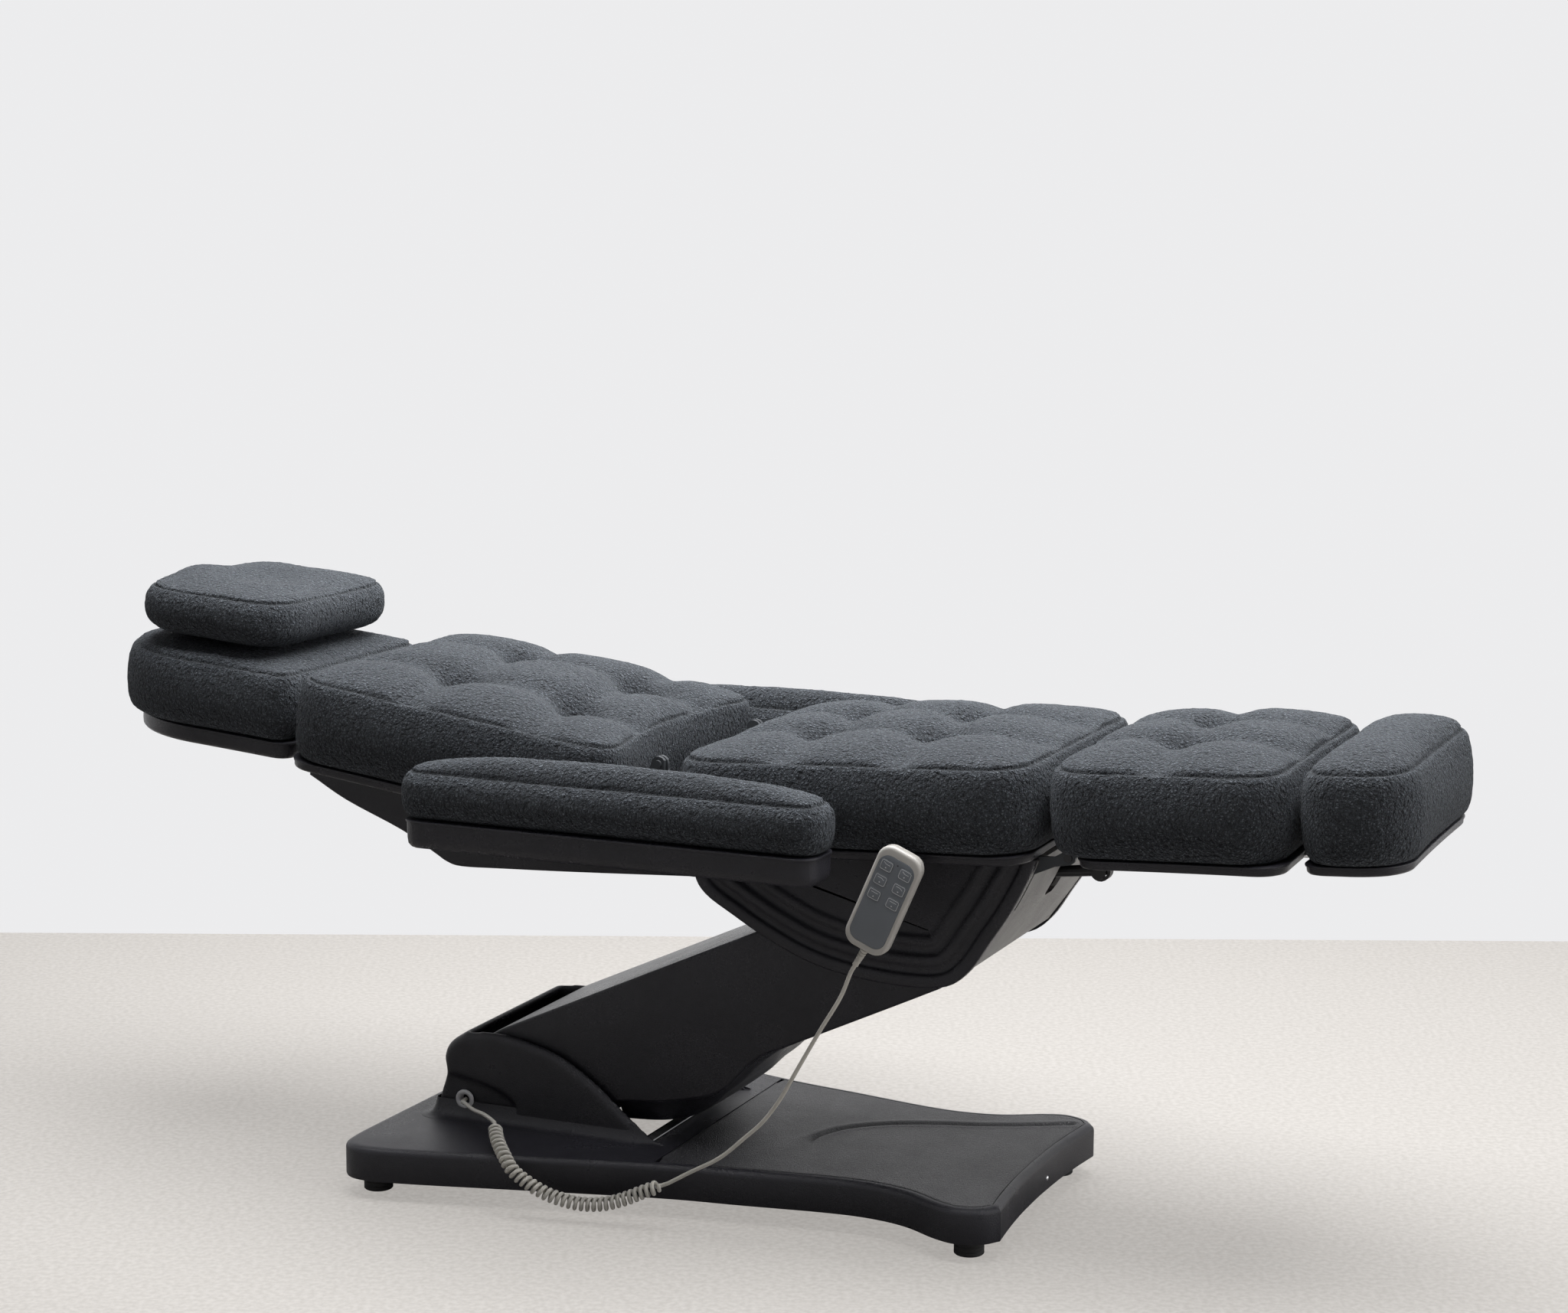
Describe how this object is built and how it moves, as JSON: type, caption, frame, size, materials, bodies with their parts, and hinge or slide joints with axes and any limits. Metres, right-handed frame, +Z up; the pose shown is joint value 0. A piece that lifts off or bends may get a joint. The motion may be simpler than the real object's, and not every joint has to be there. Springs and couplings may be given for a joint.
{
  "type": "eyelash extension bed",
  "caption": "Motorised padded treatment couch on a lift arm, with a raising back, a tilting headrest, a leg rest, armrests and a corded handset.",
  "frame": {"origin": "on the floor under the middle of the object's length and width", "axes": "+X from the head end to the foot end, +Z up, and -Y is the side with the handset"},
  "size_m": [2.1325, 0.8192, 0.8827],
  "materials": {
    "satin_plastic": "satin",
    "black_plastic": "matte",
    "charcoal_boucle": "matte",
    "steel": "satin",
    "black_painted_steel": "satin",
    "chrome": "polished",
    "white_plastic": "gloss",
    "handset_grey": "satin",
    "handset_panel": "satin",
    "grey_cable": "satin",
    "black_rubber": "matte"
  },
  "bodies": {
    "base": {"base_cover": "satin_plastic", "top_plate": "black_plastic", "chassis_frame": "black_painted_steel", "levelling_foot_head_near": "black_rubber", "levelling_foot_head_far": "black_rubber", "levelling_foot_foot_near": "black_rubber", "levelling_foot_foot_far": "black_rubber", "control_box": "black_plastic", "tower_hood": "satin_plastic", "cord_grommet": "white_plastic", "mains_inlet": "black_plastic", "pivot_stand": "black_painted_steel", "lower_shaft": "steel", "cord_start": "grey_cable", "cord_coil": "grey_cable"},
    "lift_arm": {"arm_cover": "satin_plastic", "arm_belly_pan": "satin_plastic", "arm_frame": "black_painted_steel"},
    "parallel_link": {"parallel_link": "steel"},
    "lift_motor": {"lift_motor_tube": "black_plastic"},
    "lift_rod": {"lift_motor_rod": "chrome"},
    "seat_carriage": {"carriage_frame": "black_painted_steel", "upper_shaft": "steel", "side_shroud_near": "satin_plastic", "side_shroud_far": "satin_plastic", "end_shroud": "black_plastic", "seat_tray": "satin_plastic", "seat_cushion": "charcoal_boucle", "handset_hook": "black_plastic", "back_motor_tube": "black_plastic", "cord_end": "grey_cable"},
    "backrest": {"back_tray": "satin_plastic", "back_cushion": "charcoal_boucle", "back_shell": "satin_plastic", "back_hinge_frame": "black_painted_steel"},
    "back_rod": {"back_motor_rod": "chrome"},
    "head_bars": {"head_bars": "chrome"},
    "headrest": {"head_tray": "satin_plastic", "head_cushion": "charcoal_boucle"},
    "pillow": {"pillow": "charcoal_boucle"},
    "leg_rest": {"leg_tray": "satin_plastic", "leg_cushion": "charcoal_boucle", "leg_hinge_frame": "black_painted_steel"},
    "leg_motor": {"leg_motor_tube": "black_plastic"},
    "leg_rod": {"leg_motor_rod": "chrome"},
    "footrest": {"foot_tray": "satin_plastic", "foot_cushion": "charcoal_boucle"},
    "armrest_near": {"armrest_tray_near": "satin_plastic", "armrest_cushion_near": "charcoal_boucle"},
    "armrest_far": {"armrest_tray_far": "satin_plastic", "armrest_cushion_far": "charcoal_boucle"},
    "handset": {"handset_case": "handset_grey", "handset_panel": "handset_panel", "strain_relief": "grey_cable"},
    "key_back_up": {"key_back_up": "handset_panel"},
    "key_back_down": {"key_back_down": "handset_panel"},
    "key_leg_up": {"key_leg_up": "handset_panel"},
    "key_leg_down": {"key_leg_down": "handset_panel"},
    "key_height_up": {"key_height_up": "handset_panel"},
    "key_height_down": {"key_height_down": "handset_panel"}
  },
  "joints": [
    {"name": "lift", "type": "hinge", "parent": "base", "child": "lift_arm", "pos_m": [-0.36, 0, 0.13], "axis": [0, -1, 0], "range_deg": [-2, 18]},
    {"name": "link_swing", "type": "hinge", "parent": "base", "child": "parallel_link", "pos_m": [-0.36, 0.06, 0.175], "axis": [0, -1, 0], "range_deg": [-2.2, 18.2]},
    {"name": "seat_level", "type": "hinge", "parent": "lift_arm", "child": "seat_carriage", "pos_m": [0.39, 0, 0.45], "axis": [0, -1, 0], "range_deg": [-18.2, 2.2]},
    {"name": "lift_motor_swing", "type": "hinge", "parent": "lift_arm", "child": "lift_motor", "pos_m": [0.16, -0.0325, 0.315], "axis": [0, -1, 0], "range_deg": [-0.4, 2.6]},
    {"name": "lift_motor_extend", "type": "slide", "parent": "lift_motor", "child": "lift_rod", "axis": [-0.8669, 0, -0.4985], "range_m": [-0.0045, 0.035]},
    {"name": "backrest_recline", "type": "hinge", "parent": "seat_carriage", "child": "backrest", "pos_m": [-0.06, 0, 0.668], "axis": [0, 1, 0], "range_deg": [-7, 60]},
    {"name": "back_motor_extend", "type": "slide", "parent": "seat_carriage", "child": "back_rod", "axis": [-0.9967, 0, 0.0813], "range_m": [-0.015, 0.1245]},
    {"name": "leg_rest_raise", "type": "hinge", "parent": "seat_carriage", "child": "leg_rest", "pos_m": [0.5721, 0, 0.58393], "axis": [0, 1, 0], "range_deg": [0, 60]},
    {"name": "leg_motor_swing", "type": "hinge", "parent": "seat_carriage", "child": "leg_motor", "pos_m": [0.3, 0, 0.5], "axis": [0, 1, 0], "range_deg": [-7.8, 0.2]},
    {"name": "leg_motor_extend", "type": "slide", "parent": "leg_motor", "child": "leg_rod", "axis": [0.9929, 0, 0.1186], "range_m": [-0.041, 0.0005]},
    {"name": "footrest_extend", "type": "slide", "parent": "leg_rest", "child": "footrest", "axis": [0.9986, 0, 0.0523], "range_m": [0, 0.12]},
    {"name": "headrest_extend", "type": "slide", "parent": "backrest", "child": "head_bars", "axis": [-0.9914, 0, 0.1305], "range_m": [0, 0.08]},
    {"name": "headrest_tilt", "type": "hinge", "parent": "head_bars", "child": "headrest", "pos_m": [-0.69988, 0, 0.64289], "axis": [0, 1, 0], "range_deg": [-25, 10]},
    {"name": "pillow_lift_off", "type": "slide", "parent": "headrest", "child": "pillow", "axis": [0, 0, 1], "range_m": [0, 0.15]},
    {"name": "armrest_near_swing", "type": "hinge", "parent": "seat_carriage", "child": "armrest_near", "pos_m": [0.2, -0.3605, 0.5735], "axis": [0, 1, 0], "range_deg": [0, 95]},
    {"name": "armrest_far_swing", "type": "hinge", "parent": "seat_carriage", "child": "armrest_far", "pos_m": [0.2, 0.3605, 0.5735], "axis": [0, 1, 0], "range_deg": [0, 95]},
    {"name": "handset_unhook", "type": "slide", "parent": "seat_carriage", "child": "handset", "axis": [0.3987, 0, 0.9171], "range_m": [0, 0.05]},
    {"name": "key_back_up_press", "type": "slide", "parent": "handset", "child": "key_back_up", "axis": [0, 1, 0], "range_m": [0, 0.0008], "stiffness_N_per_m": 900, "springref_m": -0.0003},
    {"name": "key_back_down_press", "type": "slide", "parent": "handset", "child": "key_back_down", "axis": [0, 1, 0], "range_m": [0, 0.0008], "stiffness_N_per_m": 900, "springref_m": -0.0003},
    {"name": "key_leg_up_press", "type": "slide", "parent": "handset", "child": "key_leg_up", "axis": [0, 1, 0], "range_m": [0, 0.0008], "stiffness_N_per_m": 900, "springref_m": -0.0003},
    {"name": "key_leg_down_press", "type": "slide", "parent": "handset", "child": "key_leg_down", "axis": [0, 1, 0], "range_m": [0, 0.0008], "stiffness_N_per_m": 900, "springref_m": -0.0003},
    {"name": "key_height_up_press", "type": "slide", "parent": "handset", "child": "key_height_up", "axis": [0, 1, 0], "range_m": [0, 0.0008], "stiffness_N_per_m": 900, "springref_m": -0.0003},
    {"name": "key_height_down_press", "type": "slide", "parent": "handset", "child": "key_height_down", "axis": [0, 1, 0], "range_m": [0, 0.0008], "stiffness_N_per_m": 900, "springref_m": -0.0003}
  ],
  "couplings": [
    {"joint": "link_swing", "follows": "lift", "ratio": 1},
    {"joint": "seat_level", "follows": "lift", "ratio": -1},
    {"joint": "lift_motor_swing", "follows": "lift", "ratio": 0.1376},
    {"joint": "lift_motor_extend", "follows": "lift", "m_per_rad": 0.10864},
    {"joint": "back_motor_extend", "follows": "backrest_recline", "m_per_rad": 0.1182},
    {"joint": "leg_motor_swing", "follows": "leg_rest_raise", "ratio": -0.123},
    {"joint": "leg_motor_extend", "follows": "leg_rest_raise", "m_per_rad": -0.03833}
  ]
}
